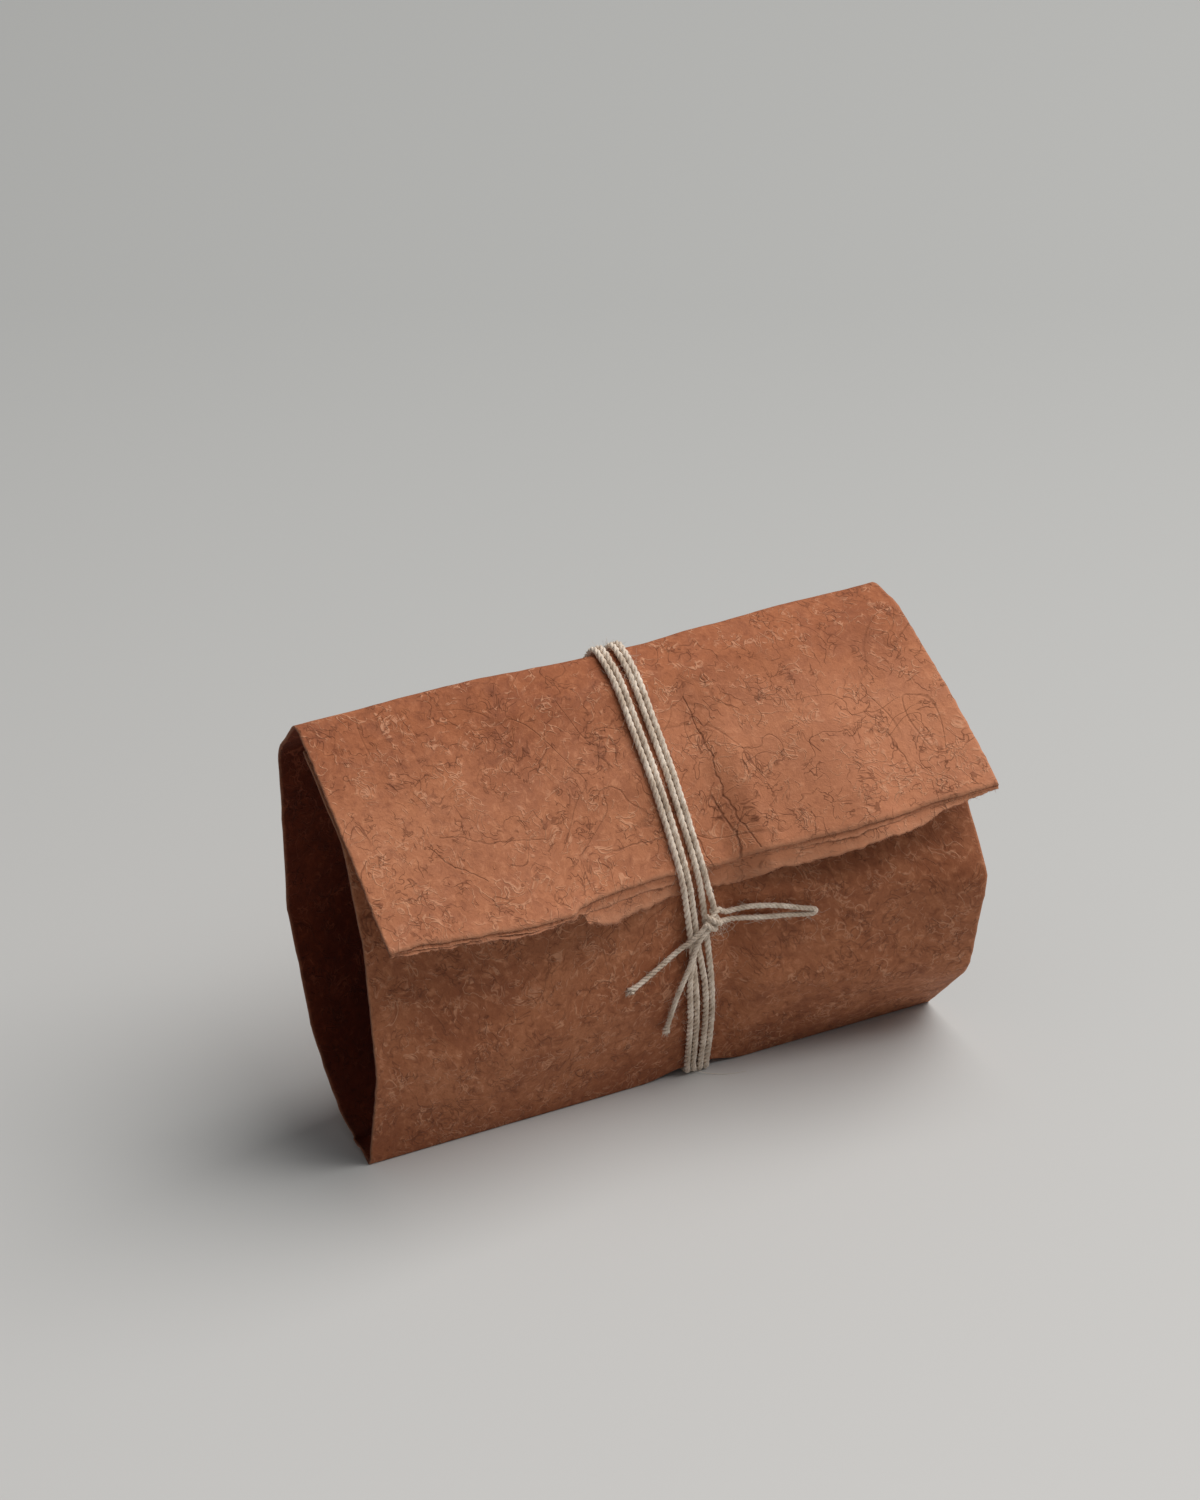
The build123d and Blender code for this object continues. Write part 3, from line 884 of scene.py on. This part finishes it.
# ---- build ---------------------------------------------------------------------------------
sheet_columns, flap_rim = paper_wrap()
middle_rim = torn_ply("paper_middle_ply", sheet_columns, MIDDLE_REACH, 0.22, 6.0, 0.5)
lower_rim = torn_ply("paper_lower_ply", sheet_columns, LOWER_REACH, 0.50, 9.0, 0.6)
for ply_name, ply_rim, ply_fibres in (("flap_fibres", flap_rim, 700), ("middle_fibres", middle_rim, 400),
                                      ("lower_fibres", lower_rim, 900)):
    edge_fibres(ply_name, ply_rim, ply_fibres, longest=1.1, outward=Vector((0, -0.5, -0.85)))
twine()


# ---- stage, light and camera ---------------------------------------------------------------
def stage():
    """A pale floor, with painted light falloff in its colour."""
    nodes = Nodes("floor")
    place = nodes.add("ShaderNodeTexCoord").outputs["Object"]
    # painted light falloff: paler towards the front right, darker far behind
    across = nodes.vector("DOT_PRODUCT", place, (0.474, 0.880, 0)).outputs["Value"]
    far = nodes.add("ShaderNodeMapRange", in_0=across, in_1=-0.30, in_2=0.42)
    colour = nodes.mix(far.outputs["Result"], (0.650, 0.640, 0.626, 1), (0.445, 0.447, 0.437, 1))
    nodes.link(colour, nodes.bsdf.inputs["Base Color"])
    nodes.bsdf.inputs["Roughness"].default_value = 0.75
    nodes.bsdf.inputs["Specular IOR Level"].default_value = 0.2
    size = 6.0  # half the floor's side, in metres
    verts = [(-size, -size, 0), (size, -size, 0), (size, size, 0), (-size, size, 0)]
    floor = mesh_object("floor", verts, [(0, 1, 2, 3)], nodes.material, False)


def area(name, place, aim, size, energy, colour):
    """A square lamp, in metres and watts."""
    data = bpy.data.lights.new(name, "AREA")
    data.energy, data.color, data.size = energy, colour, size
    obj = bpy.data.objects.new(name, data)
    obj.location = place
    obj.rotation_euler = (Vector(aim) - Vector(place)).to_track_quat("-Z", "Y").to_euler()
    bpy.context.scene.collection.objects.link(obj)


def lights():
    """One large soft lamp from the upper right, and a dim even sky."""
    scene = bpy.context.scene
    world = bpy.data.worlds.new("studio")
    scene.world = world
    world.use_nodes = True
    back = next(n for n in world.node_tree.nodes if n.type == "BACKGROUND")
    back.inputs["Color"].default_value = (0.97, 0.985, 1.0, 1)
    back.inputs["Strength"].default_value = 0.18
    area("key", place=(1.0, -0.12, 1.72), aim=(0, 0, 0.04), size=2.1, energy=49.5,
         colour=(1.0, 0.99, 0.975))


FOCAL = 4.0  # focal length over the picture's height
PICTURE = 345.622  # what the picture's height spans at the tube's left bottom corner, in mm
TILT, TURN = math.radians(29.5), math.radians(28.3)
SENSOR = 24.0


def camera():
    """Looks down at the flap from the parcel's front left."""
    right = Vector((math.cos(TURN), -math.sin(TURN), 0))
    level = Vector((math.sin(TURN), math.cos(TURN), 0))
    look = level * math.cos(TILT) - Vector((0, 0, 1)) * math.sin(TILT)
    up = level * math.sin(TILT) + Vector((0, 0, 1)) * math.cos(TILT)
    distance = FOCAL * PICTURE * MM
    # the tube's left bottom corner sits this far right of and above the picture's middle,
    # as shares of the picture's height
    across, above = -0.1533, -0.2767
    corner = Vector((-MID_X * MM, -MID_Y * MM, 0))
    place = corner - distance * (look + right * across / FOCAL + up * above / FOCAL)
    data = bpy.data.cameras.new("camera")
    data.sensor_fit = "VERTICAL"
    data.sensor_height = SENSOR
    data.lens = SENSOR * FOCAL
    data.clip_start, data.clip_end = 0.05, 20
    obj = bpy.data.objects.new("camera", data)
    turn = Matrix((right, up, -look)).transposed()
    obj.matrix_world = Matrix.Translation(place) @ turn.to_4x4()
    bpy.context.scene.collection.objects.link(obj)
    bpy.context.scene.camera = obj


stage()
lights()
camera()
bpy.context.scene.view_settings.view_transform = "Standard"
